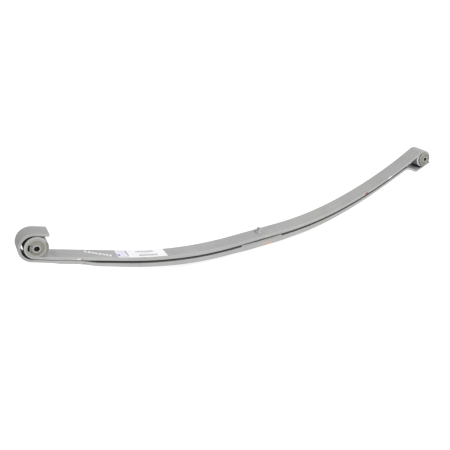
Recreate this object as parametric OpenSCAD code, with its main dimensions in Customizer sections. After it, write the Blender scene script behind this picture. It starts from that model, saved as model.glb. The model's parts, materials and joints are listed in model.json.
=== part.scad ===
// Two-leaf parabolic rear spring for a light van.
//
// Frame: the origin is on the centre bolt's axis, at the flat underside of the second leaf, where the
// spring sits on the axle. +X runs along the seat to the rear eye, +Y across the leaves, +Z is up.
// Each leaf is a bent strip, drawn from the side in the XZ plane and extruded across its width.
// Arm 0 is the front one, which runs towards -X, and arm 1 the rear one, towards +X. A station is a
// distance along the main leaf's top face, outwards from the bolt. A depth is measured squarely down
// from that face, so both leaves and all that lies between them share one line.

/* [Leaves] */
// Width of both leaves
leaf_w = 70; // [50:1:100]
// Main leaf thickness at the centre bolt
main_centre_t = 14.5; // [10:0.5:20]
// Main leaf thickness along the outer part of the front arm
main_front_t = 11.5; // [8:0.5:16]
// Main leaf thickness along the outer part of the rear arm
main_rear_t = 8.2; // [6:0.1:14]
// Second leaf thickness at the centre bolt, on its seat
second_centre_t = 20.5; // [10:0.5:28]
// How much thinner the second leaf is where its seat ends
seat_swell = 3; // [0:0.5:6]
// Second leaf thickness along the outer part of the front arm
second_front_t = 12; // [8:0.5:18]
// Second leaf thickness along the outer part of the rear arm
second_rear_t = 8.4; // [6:0.1:14]

/* [Front arm] */
// Station of the foot of the front eye
front_arm = 869.5; // [600:0.5:1100]
// Length of the flat seat on the front side of the bolt
front_flat = 116; // [60:1:160]
// Station where the front arm's bend ends and its straight begins
front_bend_end = 568; // [300:1:700]
// Bend radius of the front arm
front_radius = 1475; // [900:5:3000]

/* [Rear arm] */
// Station of the foot of the rear eye
rear_arm = 818.5; // [600:0.5:1100]
// Length of the flat seat on the rear side of the bolt
rear_flat = 100; // [60:1:160]
// Station where the rear arm's tighter bend gives way to the easier one
rear_knee = 395; // [250:1:600]
// Bend radius of the rear arm's inner part
rear_radius_in = 1265; // [900:5:3000]
// Bend radius of the rear arm's outer part
rear_radius_out = 1720; // [900:5:3000]

/* [Front eye and hook] */
// Bore of the front eye
front_eye_d = 62; // [40:0.5:80]
// Thickness of the roll of the front eye
front_roll_t = 9; // [7:0.5:14]
// Thickness of the second leaf's hook
hook_t = 9.5; // [6:0.5:14]
// How far the hook's centre is shifted outwards from the eye's centre
hook_shift = 8.2; // [0:0.1:10]
// How far the hook's centre is lifted from the eye's centre
hook_lift = 0.2; // [0:0.1:6]
// Angle that the hook wraps round the eye
hook_wrap = 180; // [120:1:200]
// Straight end of the hook
hook_tail = 44.8; // [10:1:60]

/* [Rear eye and tail] */
// Bore of the rear eye
rear_eye_d = 52.5; // [30:0.5:70]
// Thickness of the roll of the rear eye
rear_roll_t = 8.5; // [6:0.5:12]
// Station where the second leaf's tail turns down
tail_station = 733; // [500:1:1000]
// Slope of the tail's last run, under the eye
tail_slope = 18.5; // [0:0.5:30]
// How far the tail reaches past the point under the eye's centre
tail_reach = 33; // [10:1:60]
// How far before that point the tail's lower bend stands
tail_back = 48; // [35:1:70]
// Thickness of the tail's end
tail_t = 6; // [4:0.1:10]
// Width of the tail's end
tail_w = 62; // [40:1:100]

/* [Seat stack] */
// How far the spacer plate reaches in front of the bolt
spacer_front = 95; // [50:1:120]
// How far the spacer plate reaches behind the bolt
spacer_rear = 85; // [50:1:120]
// Thickness of the spacer plate
spacer_t = 7.5; // [4:0.5:12]
// Thickness of the liner on top of the spacer
liner_t = 1.5; // [0.5:0.5:3]
// Thread diameter of the centre bolt
bolt_d = 12; // [8:1:16]
// Diameter of the bolt's dowel head
bolt_head_d = 20; // [16:1:30]
// Height of the bolt's dowel head
bolt_head_h = 10; // [6:1:16]
// How far the bolt stands above the main leaf
bolt_end = 22; // [14:1:30]
// Width of the nut across its flats
nut_af = 19; // [13:1:24]
// Height of the nut
nut_h = 11; // [6:0.5:14]
// Diameter of the nut's flange
nut_flange_d = 25; // [20:0.5:36]

/* [Leaf tips] */
// Gap between the leaves at the outer part of the rear arm
rear_gap = 6.5; // [3:0.5:10]
// Gap between the leaves near the front eye
front_gap = 1.3; // [1:0.1:4]
// Station of the middle of the front tip pad
front_pad_at = 760; // [500:1:1000]
// Station of the middle of the rear tip pad
rear_pad_at = 664; // [500:1:900]
// Length of each tip pad
pad_l = 56; // [30:1:90]
// Diameter of the rear pad's locating button
button_d = 16; // [8:1:24]

/* [Bushes] */
// Bore of the front bush
front_bore_d = 18; // [12:0.1:24]
// Outer diameter of the front bush's inner sleeve
front_sleeve_d = 27; // [20:0.5:36]
// How far the front inner sleeve stands out of the leaf on each side
front_proud = 7; // [2:0.5:20]
// Outer diameter of the front bush's rubber lips
front_lip_d = 64; // [50:0.5:72]
// How far the rim of the front rubber lip stands out of the leaf
front_rim = 2.5; // [1.5:0.5:18]
// Wall of the front bush's outer shell
front_shell_t = 1.5; // [1:0.5:4]
// Bore of the rear bush
rear_bore_d = 14.3; // [10:0.1:20]
// Outer diameter of the rear bush's inner sleeve
rear_sleeve_d = 22; // [16:0.5:30]
// How far the rear inner sleeve stands out of the leaf on each side
rear_proud = 11; // [2:0.5:20]
// Outer diameter of the rear bush's rubber lips
rear_lip_d = 54; // [30:0.5:60]
// How far the rim of the rear rubber lip stands out of the leaf
rear_rim = 9; // [1.5:0.5:18]
// Wall of the rear bush's outer shell
rear_shell_t = 1.5; // [1:0.5:4]

/* [Label] */
// Length of the paper label
label_l = 187; // [80:1:240]
// Width of the paper label
label_w = 64; // [30:1:68]
// Station of the middle of the label
label_at = 491; // [300:1:650]
// How far the label lies off the leaf's middle line
label_off = 3; // [-6:0.5:6]

/* [Hidden] */
$fn = 96;

FRONT = 0;
REAR = 1;
fit = 0.05;            // clearance between round pieces that turn in one another
bolt_clear = 0.3;      // clearance round the bolt's shank
button_clear = 0.3;    // clearance round the rear pad's button
nut_clear = 0.1;       // clearance between nut and thread
roll_gap = 0.8;        // gap between a roll's scarfed free end and the leaf
seam = 2;              // angle of each roll that runs into the straight leaf
scarf_end = 24;        // angle from the eye's foot to the tip of the roll's scarfed free end
lip_clear = 0.3;       // clearance between a rubber lip and the leaf's edge
tail_clear = 0.5;      // clearance between the rear eye and the tail under it
label_t = 0.4;
pad_inset = 5;         // how far a pad stays inside the leaf's edges
button_root = 1;       // how far the rear pad's button starts inside the pad
void_from = 138;       // angles of the void in the front rubber, seen along +Y
void_to = 190;
void_skin = 0.8;       // rubber between that void and the shell
void_w = 6.5;          // width of that void
void_points = 10;
lip_round = 1.5;       // largest rounding of a lip's outer edge
lip_land = 0.6;        // how much of the way from the lip's edge to the neck its face stays flat
neck_w = 3;            // width of the rubber's neck round a sleeve
neck_rise = 0.7;       // how much of the neck's height the cone under it takes
neck_bevel = 1;
neck_short = 1;        // how far the sleeve stands out of that neck
over = 1;              // how far a cutter reaches past what it cuts
seat_gap = spacer_t + liner_t;
seat_top = second_centre_t + seat_gap + main_centre_t;

// ---- the line of the main leaf's top face -------------------------------------------------------

station_step = 12;
least_step = 1;
arms = [front_arm, rear_arm];

function clamp(v, low, high) = max(low, min(v, high));
function mix(a, b, share) = a + (b - a) * share;
function ease(share) = let (c = clamp(share, 0, 1)) c * c * (3 - 2 * c);

// Slope of the top face at a station, in degrees
function heading(arm, s) = arm == FRONT
    ? (clamp(s, front_flat, front_bend_end) - front_flat) / front_radius * 180 / PI
    : ((clamp(s, rear_flat, rear_knee) - rear_flat) / rear_radius_in
        + (max(s, rear_knee) - rear_knee) / rear_radius_out) * 180 / PI;

steps = [for (length = arms) ceil(length / station_step)];
function station(arm, i) = arms[arm] * i / steps[arm];

// Running sum of the short straight steps along an arm: [station, [out, up]]
lines = [for (arm = [FRONT, REAR]) let (step = arms[arm] / steps[arm])
    [for (i = 0, p = [0, seat_top]; i <= steps[arm];
          p = p + step * [cos(heading(arm, step * (i + 0.5))), sin(heading(arm, step * (i + 0.5)))],
          i = i + 1) [step * i, p]]];
outs = [for (line = lines) [for (row = line) [row[0], row[1][0]]]];
ups = [for (line = lines) [for (row = line) [row[0], row[1][1]]]];

function along(arm, s) = [cos(heading(arm, s)), sin(heading(arm, s))];
function square(arm, s) = [-sin(heading(arm, s)), cos(heading(arm, s))];
// The point at a station, a depth below the top face, as [out, up]
function spot(arm, s, depth) = [lookup(s, outs[arm]), lookup(s, ups[arm])] - depth * square(arm, s);

// ---- thicknesses along the arms -----------------------------------------------------------------

main_taper_from = [265, 95];
main_taper_to = [575, 625];
main_end_t = [main_front_t, main_rear_t];
roll_t = [front_roll_t, rear_roll_t];
roll_taper = 70;       // length over which the main leaf takes the roll's thickness
second_taper_from = [345, 195];
second_taper_to = [635, 590];
seat_half = 60;        // half the length of the second leaf's flat seat
seat_fade = 90;        // length over which its swell fades out
second_end_t = [second_front_t, second_rear_t];
gap_end = [front_gap, rear_gap];
gap_from = [645, 100];
gap_to = [730, 595];
hook_taper = 25;       // length over which the second leaf thins to the hook
hook_foot = 60;        // station of that taper's end, back from the eye's foot

function main_t(arm, s) =
    let (body = mix(main_centre_t, main_end_t[arm],
             clamp((s - main_taper_from[arm]) / (main_taper_to[arm] - main_taper_from[arm]), 0, 1)))
    mix(body, roll_t[arm], ease((s - arms[arm] + roll_taper) / roll_taper));
function gap(arm, s) =
    let (share = (s - gap_from[arm]) / (gap_to[arm] - gap_from[arm]))
    mix(seat_gap, gap_end[arm], arm == FRONT ? ease(share) : clamp(share, 0, 1));
function second_t(arm, s) =
    let (body = seat_swell * (1 - ease((s - seat_half) / seat_fade))
             + mix(second_centre_t - seat_swell, second_end_t[arm],
                 clamp((s - second_taper_from[arm]) / (second_taper_to[arm] - second_taper_from[arm]), 0, 1)))
    arm == REAR ? body
        : mix(body, hook_t, ease((s - arms[arm] + hook_foot + hook_taper) / hook_taper));
function second_top(arm, s) = main_t(arm, s) + gap(arm, s);

// ---- eyes ---------------------------------------------------------------------------------------

eye_r = [front_eye_d / 2, rear_eye_d / 2];
// The front eye is rolled up from the leaf, the rear one down from it
front_eye = spot(FRONT, front_arm, -eye_r[FRONT]);
rear_eye = spot(REAR, rear_arm, eye_r[REAR] + rear_roll_t);
front_eye_at = [-front_eye[0], 0, front_eye[1]];
rear_eye_at = [rear_eye[0], 0, rear_eye[1]];

// ---- outlines, as lists of [out, up] ------------------------------------------------------------

function stations(arm, from, to) = concat([from],
    [for (i = [0:steps[arm]]) let (s = station(arm, i))
        if (s > from + least_step && s < to - least_step) s],
    [to]);
function reversed(list) = [for (i = [len(list) - 1:-1:0]) list[i]];
function mirrored(list) = [for (p = list) [-p[0], p[1]]];
function arc(centre, r, from, to, count) =
    [for (i = [0:count]) centre + r * [cos(mix(from, to, i / count)), sin(mix(from, to, i / count))]];

function unit(v) = v / norm(v);
// Signed angle of the turn at b on the way from a to c, how far before b its rounding of radius r
// starts, and the points of that rounding
function turn(a, b, c) =
    let (u = b - a, v = c - b) atan2(u[0] * v[1] - u[1] * v[0], u * v);
function lead(a, b, c, r) = r * tan(abs(turn(a, b, c)) / 2);
function turn_at(a, b, c, r, count) =
    let (u = unit(b - a), angle = turn(a, b, c),
         side = sign(angle),
         start = b - lead(a, b, c, r) * u,
         centre = start + side * r * [-u[1], u[0]])
    [for (i = [0:count]) let (a0 = atan2(u[1], u[0]) - side * 90 + angle * i / count)
        centre + r * [cos(a0), sin(a0)]];
// The two edges of a strip, from the points of its middle line and its thickness at each
function edge(points, widths, side) = [for (i = [0:len(points) - 1])
    let (d = unit(points[min(i + 1, len(points) - 1)] - points[max(i - 1, 0)]))
    points[i] + side * widths[i] / 2 * [-d[1], d[0]]];

function main_edge(arm, side) = [for (s = stations(arm, 0, arms[arm]))
    spot(arm, s, side > 0 ? 0 : main_t(arm, s))];
function second_edge(arm, from, to, side) = [for (s = stations(arm, from, to))
    spot(arm, s, second_top(arm, s) + (side > 0 ? 0 : second_t(arm, s)))];

// ---- hook of the second leaf, round the front eye -----------------------------------------------

hook_centre = front_eye + hook_shift * along(FRONT, front_arm) + hook_lift * square(FRONT, front_arm);
hook_r = eye_r[FRONT] + front_roll_t + front_gap + hook_lift;
hook_start = heading(FRONT, front_arm) - 90;
hook_points = 40;
function hook_edge(r) =
    let (bend = arc(hook_centre, r, hook_start, hook_start + hook_wrap, hook_points),
         last = hook_start + hook_wrap + 90)
    concat(bend, [bend[hook_points] + hook_tail * [cos(last), sin(last)]]);

// ---- tail of the second leaf, under the rear eye ------------------------------------------------

tail_bend_r = [45, 18];
bend_points = 8;
tail_dir = [cos(tail_slope), sin(tail_slope)];
tail_foot = rear_eye + (eye_r[REAR] + rear_roll_t + tail_clear + tail_t / 2) * [tail_dir[1], -tail_dir[0]];
tail_crest = spot(REAR, tail_station,
    second_top(REAR, tail_station) + second_t(REAR, tail_station) / 2);
tail_valley = tail_foot - tail_back * tail_dir;
tail_tip = tail_foot + tail_reach * tail_dir;
tail_before = tail_crest - along(REAR, tail_station);
tail_line = concat(
    turn_at(tail_before, tail_crest, tail_valley, tail_bend_r[0], bend_points),
    turn_at(tail_crest, tail_valley, tail_tip, tail_bend_r[1], bend_points),
    [tail_tip]);
tail_widths = [for (i = [0:len(tail_line) - 1])
    mix(second_rear_t, tail_t, clamp((i - bend_points) / bend_points, 0, 1))];
// Station where the tail leaves the arm's line
tail_from = tail_station - lead(tail_before, tail_crest, tail_valley, tail_bend_r[0]) - least_step;

// ---- shapes that repeat -------------------------------------------------------------------------

// Stands an outline in the XZ plane and gives it a width across the leaves
module across(width) {
    rotate([90, 0, 0])
        linear_extrude(height = width, center = true)
            children();
}

// A round bar or bore along Y
module bar(at, d, width) {
    translate(at)
        rotate([90, 0, 0])
            cylinder(h = width, d = d, center = true);
}

module bolt_hole() {
    translate([0, 0, -over])
        cylinder(h = seat_top + 2 * over, d = bolt_d + 2 * bolt_clear);
}

// The roll of an eye, whose free end is scarfed to lie along the leaf. It is drawn with the leaf
// under it, its free end on the +X side, and then turned: foot is the angle of its foot.
module roll(at, arm, foot) {
    outer = eye_r[arm] + roll_t[arm];
    open_from = [sin(seam), -cos(seam)];
    open_to = [sin(scarf_end), -cos(scarf_end)];
    face = eye_r[arm] - roll_gap;
    difference() {
        bar(at, 2 * outer, leaf_w);
        translate([at[0], 0, at[2]])
            rotate([0, -90 - foot, 0])
                across(leaf_w + 2 * over) {
                    polygon([[0, 0], 2 * outer * open_from, 2 * outer * open_to]);
                    polygon([face * open_from / cos(seam), [2 * outer, -face], [2 * outer, -2 * outer],
                        2 * outer * open_from]);
                }
    }
}

// A slab between an upper and a lower line of [out, up] points on one arm
module slab(arm, upper, lower, width) {
    outline = concat(upper, reversed(lower));
    across(width)
        polygon(arm == FRONT ? mirrored(outline) : outline);
}

// A tube along Y
module tube(at, outer_d, inner_d, width) {
    difference() {
        bar(at, outer_d, width);
        bar(at, inner_d, width + 2 * over);
    }
}

// What the tail's plan loses on each side, from its valley to its tip
module tail_trims() {
    past = 10;
    loss = (leaf_w - tail_w) / 2;
    share = (tail_tip[0] + past - tail_valley[0]) / (tail_tip[0] - tail_valley[0]);
    for (side = [-1, 1])
        linear_extrude(height = 2 * rear_eye[1])
            polygon([[tail_valley[0], side * leaf_w / 2],
                [tail_tip[0] + past, side * (leaf_w / 2 - loss * share)],
                [tail_tip[0] + past, side * (leaf_w / 2 + over)],
                [tail_valley[0], side * (leaf_w / 2 + over)]]);
}

// ---- leaves -------------------------------------------------------------------------------------

module main_leaf() {
    front_slope = heading(FRONT, front_arm);
    rear_slope = heading(REAR, rear_arm);
    color([0.66, 0.67, 0.67])
        difference() {
            union() {
                across(leaf_w)
                    polygon(concat(
                        reversed(mirrored(main_edge(FRONT, 1))),
                        main_edge(REAR, 1),
                        reversed(main_edge(REAR, -1)),
                        mirrored(main_edge(FRONT, -1))));
                roll(front_eye_at, FRONT, -90 - front_slope);
                roll(rear_eye_at, REAR, 90 + rear_slope);
            }
            bar(front_eye_at, front_eye_d, leaf_w + 2 * over);
            bar(rear_eye_at, rear_eye_d, leaf_w + 2 * over);
            bolt_hole();
        }
}

module second_leaf() {
    color([0.66, 0.67, 0.67])
        difference() {
            across(leaf_w)
                polygon(concat(
                    reversed(mirrored(hook_edge(hook_r))),
                    reversed(mirrored(second_edge(FRONT, 0, front_arm, 1))),
                    second_edge(REAR, 0, tail_from, 1),
                    edge(tail_line, tail_widths, 1),
                    reversed(edge(tail_line, tail_widths, -1)),
                    reversed(second_edge(REAR, 0, tail_from, -1)),
                    mirrored(second_edge(FRONT, 0, front_arm, -1)),
                    mirrored(hook_edge(hook_r + hook_t))));
            bolt_hole();
            tail_trims();
            pad_button(button_d + 2 * button_clear, second_t(REAR, rear_pad_at) + 2 * over);
        }
}

// ---- seat stack ---------------------------------------------------------------------------------

module spacer_plate() {
    color([0.64, 0.65, 0.65])
        difference() {
            translate([-spacer_front, -leaf_w / 2, second_centre_t])
                cube([spacer_front + spacer_rear, leaf_w, spacer_t]);
            bolt_hole();
        }
}

module seat_liner() {
    inset = 1;
    color([0.16, 0.16, 0.16])
        difference() {
            translate([-spacer_front, -leaf_w / 2 + inset, second_centre_t + spacer_t])
                cube([spacer_front + spacer_rear, leaf_w - 2 * inset, liner_t]);
            bolt_hole();
        }
}

module centre_bolt() {
    chamfer = 1.5;
    head_r = bolt_head_d / 2;
    r = bolt_d / 2;
    top = seat_top + bolt_end;
    color([0.55, 0.55, 0.54])
        rotate_extrude()
            polygon([[0, -bolt_head_h], [head_r - chamfer, -bolt_head_h], [head_r, -bolt_head_h + chamfer],
                [head_r, 0], [r, 0], [r, top - chamfer], [r - chamfer, top], [0, top]]);
}

module centre_nut() {
    corner_d = nut_af / cos(30);
    bevel = 1.4;
    flange_edge = 1.5;
    flange_h = 3;
    color([0.6, 0.6, 0.6])
        translate([0, 0, seat_top])
            difference() {
                union() {
                    intersection() {
                        cylinder(h = nut_h, d = corner_d, $fn = 6);
                        rotate_extrude()
                            polygon([[0, 0], [corner_d / 2, 0], [corner_d / 2, nut_h - bevel],
                                [corner_d / 2 - 2 * bevel, nut_h], [0, nut_h]]);
                    }
                    rotate_extrude()
                        polygon([[0, 0], [nut_flange_d / 2, 0], [nut_flange_d / 2, flange_edge],
                            [nut_af / 2, flange_h], [0, flange_h]]);
                }
                translate([0, 0, -over])
                    cylinder(h = nut_h + 2 * over, d = bolt_d + 2 * nut_clear);
            }
}

// ---- pads between the leaf tips -----------------------------------------------------------------

// Fills the gap between the leaves over the length of a pad
module pad(arm, at) {
    run = stations(arm, at - pad_l / 2, at + pad_l / 2);
    slab(arm, [for (s = run) spot(arm, s, main_t(arm, s))], [for (s = run) spot(arm, s, second_top(arm, s))],
        leaf_w - 2 * pad_inset);
}

module front_tip_pad() {
    color([0.12, 0.12, 0.12])
        pad(FRONT, front_pad_at);
}

// The button that holds the rear pad in the second leaf, from the pad downwards
module pad_button(d, depth) {
    top = spot(REAR, rear_pad_at, second_top(REAR, rear_pad_at) - button_root);
    translate([top[0], 0, top[1]])
        rotate([0, 180 - heading(REAR, rear_pad_at), 0])
            cylinder(h = depth, d = d);
}

module rear_tip_pad() {
    color([0.12, 0.12, 0.12])
        union() {
            pad(REAR, rear_pad_at);
            pad_button(button_d, second_t(REAR, rear_pad_at));
        }
}

// ---- bushes -------------------------------------------------------------------------------------

// The rubber of a bush, turned about its own axis: it fills the shell, and its lips stand out of it,
// low at the rim and higher round the sleeve
module rubber(at, sleeve_d, shell_d, lip_d, rim, proud) {
    inner = sleeve_d / 2 + fit;
    outer = shell_d / 2;
    lip = lip_d / 2;
    half = leaf_w / 2;
    rim_end = half + rim;
    neck_end = half + proud - neck_short;
    neck = inner + neck_w;
    corner = min(lip_round, (rim - lip_clear) / 2);
    side = [[outer, half + lip_clear], [lip, half + lip_clear], [lip, rim_end - corner],
        [lip - corner, rim_end], [mix(lip, neck, lip_land), rim_end],
        [neck, mix(rim_end, neck_end, neck_rise)], [neck - neck_bevel, neck_end], [inner, neck_end]];
    translate(at)
        rotate([90, 0, 0])
            rotate_extrude()
                polygon(concat(side, [for (p = reversed(side)) [p[0], -p[1]]]));
}

// A kidney-shaped void along Y, between two radii and two angles
module kidney(at, r_in, r_out, from, to) {
    translate(at)
        across(2 * leaf_w)
            polygon(concat(arc([0, 0], r_in, from, to, void_points),
                arc([0, 0], r_out, to, from, void_points)));
}

module front_bush_shell() {
    color([0.62, 0.63, 0.62])
        tube(front_eye_at, front_eye_d - 2 * fit, front_eye_d - 2 * fit - 2 * front_shell_t, leaf_w);
}

module front_bush_rubber() {
    shell_in = front_eye_d - 2 * fit - 2 * front_shell_t;
    void_out = shell_in / 2 - void_skin;
    color([0.52, 0.52, 0.49])
        difference() {
            rubber(front_eye_at, front_sleeve_d, shell_in, front_lip_d, front_rim, front_proud);
            kidney(front_eye_at, void_out - void_w, void_out, void_from, void_to);
        }
}

module front_bush_sleeve() {
    color([0.64, 0.65, 0.64])
        tube(front_eye_at, front_sleeve_d, front_bore_d, leaf_w + 2 * front_proud);
}

module rear_bush_shell() {
    color([0.62, 0.63, 0.62])
        tube(rear_eye_at, rear_eye_d - 2 * fit, rear_eye_d - 2 * fit - 2 * rear_shell_t, leaf_w);
}

module rear_bush_rubber() {
    color([0.55, 0.54, 0.5])
        rubber(rear_eye_at, rear_sleeve_d, rear_eye_d - 2 * fit - 2 * rear_shell_t, rear_lip_d,
            rear_rim, rear_proud);
}

module rear_bush_sleeve() {
    color([0.64, 0.65, 0.64])
        tube(rear_eye_at, rear_sleeve_d, rear_bore_d, leaf_w + 2 * rear_proud);
}

// ---- label --------------------------------------------------------------------------------------

module label() {
    run = stations(FRONT, label_at - label_l / 2, label_at + label_l / 2);
    color([0.93, 0.93, 0.93])
        translate([0, label_off, 0])
            slab(FRONT, [for (s = run) spot(FRONT, s, -label_t)], [for (s = run) spot(FRONT, s, 0)], label_w);
}

main_leaf();
second_leaf();
spacer_plate();
seat_liner();
centre_bolt();
centre_nut();
front_tip_pad();
rear_tip_pad();
front_bush_shell();
front_bush_rubber();
front_bush_sleeve();
rear_bush_shell();
rear_bush_rubber();
rear_bush_sleeve();
label();
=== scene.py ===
"""Two-leaf parabolic rear spring of a light van, finished and lit.

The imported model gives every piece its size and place. Each section takes one piece, in the order in
which the spring is put together, and gives it its eased edges, its finish and its wear.
"""

import json
from math import cos, pi, radians, sin

import bmesh
import bpy
from mathutils import Matrix, Vector
from mathutils.bvhtree import BVHTree


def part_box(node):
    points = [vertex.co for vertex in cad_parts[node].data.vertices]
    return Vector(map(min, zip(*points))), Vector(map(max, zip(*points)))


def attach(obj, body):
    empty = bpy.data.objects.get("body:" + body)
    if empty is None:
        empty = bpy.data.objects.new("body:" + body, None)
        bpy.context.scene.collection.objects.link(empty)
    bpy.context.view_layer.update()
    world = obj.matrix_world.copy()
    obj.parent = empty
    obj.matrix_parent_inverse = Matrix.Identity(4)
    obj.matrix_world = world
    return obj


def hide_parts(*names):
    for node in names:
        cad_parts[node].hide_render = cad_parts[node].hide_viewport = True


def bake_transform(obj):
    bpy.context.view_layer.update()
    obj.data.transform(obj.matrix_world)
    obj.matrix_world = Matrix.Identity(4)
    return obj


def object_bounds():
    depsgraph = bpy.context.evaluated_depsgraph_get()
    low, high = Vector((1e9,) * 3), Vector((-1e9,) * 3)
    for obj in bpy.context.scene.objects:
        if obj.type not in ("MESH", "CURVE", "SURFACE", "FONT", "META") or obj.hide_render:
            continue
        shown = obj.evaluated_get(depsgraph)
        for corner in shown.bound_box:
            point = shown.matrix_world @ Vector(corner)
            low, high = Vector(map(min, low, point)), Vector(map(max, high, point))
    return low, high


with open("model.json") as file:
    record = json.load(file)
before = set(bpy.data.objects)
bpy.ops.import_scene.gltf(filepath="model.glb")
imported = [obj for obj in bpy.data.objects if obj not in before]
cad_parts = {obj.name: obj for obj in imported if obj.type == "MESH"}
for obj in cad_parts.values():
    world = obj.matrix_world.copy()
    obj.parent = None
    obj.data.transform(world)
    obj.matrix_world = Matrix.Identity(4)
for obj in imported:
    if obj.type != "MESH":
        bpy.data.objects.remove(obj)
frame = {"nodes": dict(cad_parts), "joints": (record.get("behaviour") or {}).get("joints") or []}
cad_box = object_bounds()
scene = bpy.context.scene
mm = 0.001


# ---- The viewpoint -------------------------------------------------------------------------------
# A standing eye in front of the spring and a little beyond its front end, which looks down along it
# towards the rear. The head leans a few degrees, so the seat climbs to the right.
eye_at = Vector((-0.9624, -1.8259, 1.0792))
look_at = Vector((-0.1445, 0.0, 0.1163))
lean = radians(-4.15)

camera = bpy.data.objects.new("camera", bpy.data.cameras.new("camera"))
camera.data.sensor_width = 36.0
camera.data.lens = 46.17
camera.matrix_world = (
    Matrix.Translation(eye_at)
    @ (look_at - eye_at).to_track_quat("-Z", "Y").to_matrix().to_4x4()
    @ Matrix.Rotation(lean, 4, "Z")
)
scene.collection.objects.link(camera)
scene.camera = camera


# ---- Second leaf ---------------------------------------------------------------------------------
# The lower leaf, rolled from spring steel to a long taper, shot-peened and sprayed grey. Its front
# end is hooked round the front eye and its rear end runs on as a tail under the rear eye. It bends
# with both arms, so it is made as a front and a rear half that meet under the centre nut.
leaf_edge = 1.6 * mm
rung_pitch = 15 * mm
halves_meet = 9 * mm
weld_gap = 0.01 * mm
cut_gap = 1e-7
flat_within, smooth_below = 0.15, 35
leaf_grey = (0.412, 0.417, 0.413)
road_dust = (0.47, 0.44, 0.36)
paint_gloss = 0.32
bare_steel = (0.19, 0.18, 0.165)
rust = (0.33, 0.13, 0.07)
chip_share = 0.8
torn_rim = 4.5 * mm
# A thin coat on the far rim, which is also painted shade on the faces that look down
thin_coat_and_shade = (0.20, 0.20, 0.19)
thin_coat_and_shade_share = 0.8
thin_coat_from, thin_coat_to = 32.4 * mm, 34.0 * mm
# Bare mill scale in the gaps, graded darker with depth and inside the hook as painted shade
mill_scale = (0.125, 0.127, 0.121)
scale_rim, scale_deep = 35.0 * mm, 29.0 * mm
rim_share, deep_share = 0.30, 0.95
hook_shade_from, hook_shade_to = -770 * mm, -800 * mm
hook_shade = 0.16
old_primer = (0.62, 0.40, 0.27)
# Painted shade for the outside of the hook
hook_outer_shade = (0.325, 0.325, 0.32)
shelter_start, shelter_reach = 0.05 * mm, 16 * mm
# How strongly the faces that look down are darkened as painted shade
underside_shade_gain, underside_shade_from = 1.4, 0.2


def node(tree, kind, inputs=None, **settings):
    """A shader node with its settings, and its sockets set or linked by name or number."""
    made = tree.nodes.new(kind)
    for key, value in settings.items():
        setattr(made, key, value)
    for key, value in (inputs or {}).items():
        if isinstance(value, bpy.types.NodeSocket):
            tree.links.new(value, made.inputs[key])
        elif value is not None:
            made.inputs[key].default_value = value
    return made


def new_finish(name, bent=False):
    """A material, its tree, its shader, and the place that its patterns are laid on."""
    finish = bpy.data.materials.new(name)
    finish.use_nodes = True
    tree = finish.node_tree
    if bent:
        place = node(tree, "ShaderNodeAttribute", attribute_name="rest").outputs["Vector"]
    else:
        place = node(tree, "ShaderNodeTexCoord").outputs["Object"]
    return finish, tree, tree.nodes["Principled BSDF"], place


def stretch(tree, place, scale):
    """A place with its axes stretched, so that a pattern runs along one of them."""
    return node(tree, "ShaderNodeVectorMath", {0: place, 1: scale}, operation="MULTIPLY").outputs[0]


def grain(tree, place, scale, detail=3.0, roughness=0.55):
    """A cloudy pattern from none to one, finer with a larger scale."""
    return node(tree, "ShaderNodeTexNoise", {"Vector": place, "Scale": scale, "Detail": detail,
                                             "Roughness": roughness}).outputs["Fac"]


def between(tree, value, low, high, to_low=0.0, to_high=1.0):
    """A value taken from one span to another, and held at its ends."""
    return node(tree, "ShaderNodeMapRange", {"Value": value, "From Min": low, "From Max": high,
                                             "To Min": to_low, "To Max": to_high}).outputs["Result"]


def alone(tree, operation, value):
    """A value put through an operation that takes only one."""
    return node(tree, "ShaderNodeMath", {0: value}, operation=operation).outputs[0]


def combine(tree, operation, first, *others):
    """Two or more values put through an operation, one after the other."""
    for other in others:
        first = node(tree, "ShaderNodeMath", {0: first, 1: other}, operation=operation).outputs[0]
    return first


def lay(tree, under, colour, share):
    """One colour laid over another by a share."""
    made = node(tree, "ShaderNodeMix", data_type="RGBA")
    for number, value in ((0, share), (6, under), (7, colour)):
        if isinstance(value, bpy.types.NodeSocket):
            tree.links.new(value, made.inputs[number])
        else:
            made.inputs[number].default_value = (*value, 1.0) if isinstance(value, tuple) else value
    return made.outputs[2]


def tone(tree, colour, factor):
    """A colour made lighter or darker by a factor."""
    return node(tree, "ShaderNodeVectorMath", {0: colour, 3: factor}, operation="SCALE").outputs[0]


def spot(tree, place, centre, size, turn=(0.0, 0.0, 0.0), soft=0.6):
    """One inside a turned ellipsoid round a centre, and none outside its soft rim."""
    local = node(tree, "ShaderNodeMapping", {"Vector": place, "Location": centre,
                                             "Rotation": turn, "Scale": size},
                 vector_type="TEXTURE").outputs[0]
    reach = node(tree, "ShaderNodeVectorMath", {0: local}, operation="LENGTH").outputs["Value"]
    return between(tree, reach, 1.0 + soft / 2, 1.0 - soft / 2)


def ragged(tree, place, depth, scale=320.0):
    """A place shaken by a fine noise, so that what is laid on it gets a torn rim."""
    shake = node(tree, "ShaderNodeTexNoise", {"Vector": place, "Scale": scale, "Detail": 3.0})
    middle = node(tree, "ShaderNodeVectorMath", {0: shake.outputs["Color"], 1: (0.5, 0.5, 0.5)},
                  operation="SUBTRACT").outputs[0]
    return node(tree, "ShaderNodeVectorMath", {0: middle, 1: (depth, depth, depth), 2: place},
                operation="MULTIPLY_ADD").outputs[0]


def relief(tree, shader, *layers):
    """Heights and their depths in metres, stacked as bumps on the shader."""
    normal = None
    for height, depth in layers:
        normal = node(tree, "ShaderNodeBump",
                      {"Height": height, "Distance": depth, "Normal": normal}).outputs["Normal"]
    tree.links.new(normal, shader.inputs["Normal"])


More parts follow.
